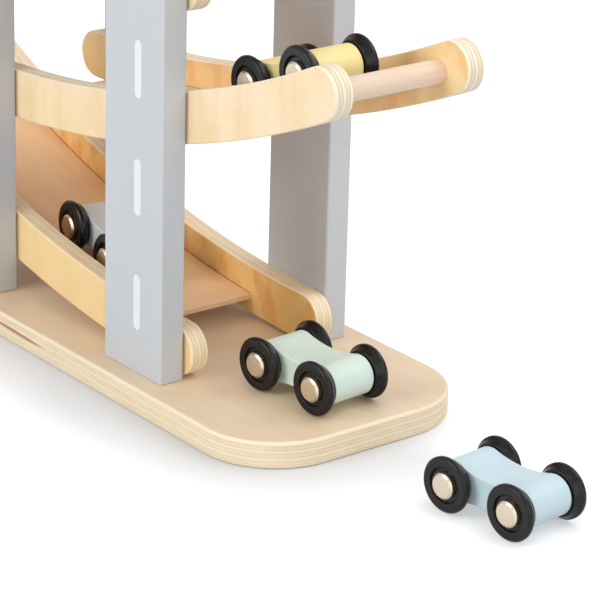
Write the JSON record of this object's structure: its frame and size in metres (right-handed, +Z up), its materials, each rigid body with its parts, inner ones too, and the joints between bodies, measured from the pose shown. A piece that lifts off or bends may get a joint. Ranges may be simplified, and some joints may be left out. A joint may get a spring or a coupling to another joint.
{
  "type": "click clack track toy",
  "caption": "Wooden click clack track toy: painted posts on a plywood base carry bent zigzag ramps between curved rails, for little cars with black wheels to roll down.",
  "frame": {"origin": "middle of the base board's underside", "axes": "+Z up, +X along the long side towards the end that the lowest ramp runs out at, +Y to the back"},
  "size_m": [0.4595, 0.12, 0.3322],
  "materials": {
    "plywood_base": "satin plywood with bare edges",
    "plywood_rail": "sanded birch plywood",
    "ramp_wood": "smooth thin plywood",
    "beech": "sanded beech",
    "post_paint": "satin grey paint with white road dashes",
    "mint_paint": "satin paint",
    "blue_paint": "satin paint",
    "yellow_paint": "satin paint",
    "grey_paint": "satin paint",
    "black_wheel": "satin black",
    "steel": "polished steel"
  },
  "bodies": {
    "track": {"base_board": "plywood_base", "post_front_left": "post_paint", "post_front_right": "post_paint", "post_back_left": "post_paint", "post_back_right": "post_paint", "post_front_left_screws": "steel", "post_front_right_screws": "steel", "post_back_left_screws": "steel", "post_back_right_screws": "steel", "ramp_1_board": "ramp_wood", "ramp_1_front_rail": "plywood_rail", "ramp_1_back_rail": "plywood_rail", "ramp_1_stop_dowel": "beech", "ramp_1_pins": "beech", "ramp_2_board": "ramp_wood", "ramp_2_front_rail": "plywood_rail", "ramp_2_back_rail": "plywood_rail", "ramp_2_stop_dowel": "beech", "ramp_2_pins": "beech", "ramp_3_board": "ramp_wood", "ramp_3_front_rail": "plywood_rail", "ramp_3_back_rail": "plywood_rail", "ramp_3_stop_dowel": "beech", "ramp_3_pins": "beech", "ramp_4_board": "ramp_wood", "ramp_4_front_rail": "plywood_rail", "ramp_4_back_rail": "plywood_rail", "ramp_4_stop_dowel": "beech", "ramp_4_pins": "beech"},
    "mint_car": {"mint_body": "mint_paint"},
    "mint_front_wheelset": {"mint_front_axle": "steel", "mint_front_wheels": "black_wheel"},
    "mint_rear_wheelset": {"mint_rear_axle": "steel", "mint_rear_wheels": "black_wheel"},
    "blue_car": {"blue_body": "blue_paint"},
    "blue_front_wheelset": {"blue_front_axle": "steel", "blue_front_wheels": "black_wheel"},
    "blue_rear_wheelset": {"blue_rear_axle": "steel", "blue_rear_wheels": "black_wheel"},
    "yellow_car": {"yellow_body": "yellow_paint"},
    "yellow_front_wheelset": {"yellow_front_axle": "steel", "yellow_front_wheels": "black_wheel"},
    "yellow_rear_wheelset": {"yellow_rear_axle": "steel", "yellow_rear_wheels": "black_wheel"},
    "grey_car": {"grey_body": "grey_paint"},
    "grey_front_wheelset": {"grey_front_axle": "steel", "grey_front_wheels": "black_wheel"},
    "grey_rear_wheelset": {"grey_rear_axle": "steel", "grey_rear_wheels": "black_wheel"}
  },
  "joints": [
    {"name": "mint_roll", "type": "slide", "parent": "track", "child": "mint_car", "axis": [0.9969, 0.0785, 0], "range_m": [-0.05, 0.012]},
    {"name": "mint_front_spin", "type": "hinge", "parent": "mint_car", "child": "mint_front_wheelset", "pos_m": [0.14565, -0.00027, 0.02405], "axis": [-0.0785, 0.9969, 0], "continuous": true},
    {"name": "mint_rear_spin", "type": "hinge", "parent": "mint_car", "child": "mint_rear_wheelset", "pos_m": [0.11175, -0.00293, 0.02405], "axis": [-0.0785, 0.9969, 0], "continuous": true},
    {"name": "blue_roll", "type": "slide", "parent": "track", "child": "blue_car", "axis": [0.9942, 0.108, 0], "range_m": [-0.04, 0.1]},
    {"name": "blue_front_spin", "type": "hinge", "parent": "blue_car", "child": "blue_front_wheelset", "pos_m": [0.2629, 0.00454, 0.01205], "axis": [-0.108, 0.9942, 0], "continuous": true},
    {"name": "blue_rear_spin", "type": "hinge", "parent": "blue_car", "child": "blue_rear_wheelset", "pos_m": [0.2291, 0.00086, 0.01205], "axis": [-0.108, 0.9942, 0], "continuous": true},
    {"name": "yellow_roll", "type": "hinge", "parent": "track", "child": "yellow_car", "pos_m": [-0.086, -0.0095, 0.715], "axis": [0, 1, 0], "range_deg": [-0.4, 14.6]},
    {"name": "yellow_front_spin", "type": "hinge", "parent": "yellow_car", "child": "yellow_front_wheelset", "pos_m": [0.14303, -0.0095, 0.15995], "axis": [0, 1, 0], "continuous": true},
    {"name": "yellow_rear_spin", "type": "hinge", "parent": "yellow_car", "child": "yellow_rear_wheelset", "pos_m": [0.11125, -0.0095, 0.14787], "axis": [0, 1, 0], "continuous": true},
    {"name": "grey_roll", "type": "hinge", "parent": "track", "child": "grey_car", "pos_m": [0.086, -0.0069, 0.635], "axis": [0, -1, 0], "range_deg": [-12.1, 2.7]},
    {"name": "grey_front_spin", "type": "hinge", "parent": "grey_car", "child": "grey_front_wheelset", "pos_m": [0.00984, -0.00868, 0.0394], "axis": [0.1033, 0.9945, -0.0162], "continuous": true},
    {"name": "grey_rear_spin", "type": "hinge", "parent": "grey_car", "child": "grey_rear_wheelset", "pos_m": [-0.02356, -0.00512, 0.04463], "axis": [0.1033, 0.9945, -0.0162], "continuous": true}
  ],
  "couplings": [
    {"joint": "mint_front_spin", "follows": "mint_roll", "rad_per_m": 85.106},
    {"joint": "mint_rear_spin", "follows": "mint_roll", "rad_per_m": 85.106},
    {"joint": "blue_front_spin", "follows": "blue_roll", "rad_per_m": 85.106},
    {"joint": "blue_rear_spin", "follows": "blue_roll", "rad_per_m": 85.106},
    {"joint": "yellow_front_spin", "follows": "yellow_roll", "ratio": -52.102},
    {"joint": "yellow_rear_spin", "follows": "yellow_roll", "ratio": -52.102},
    {"joint": "grey_front_spin", "follows": "grey_roll", "ratio": 51.817},
    {"joint": "grey_rear_spin", "follows": "grey_roll", "ratio": 51.817}
  ]
}
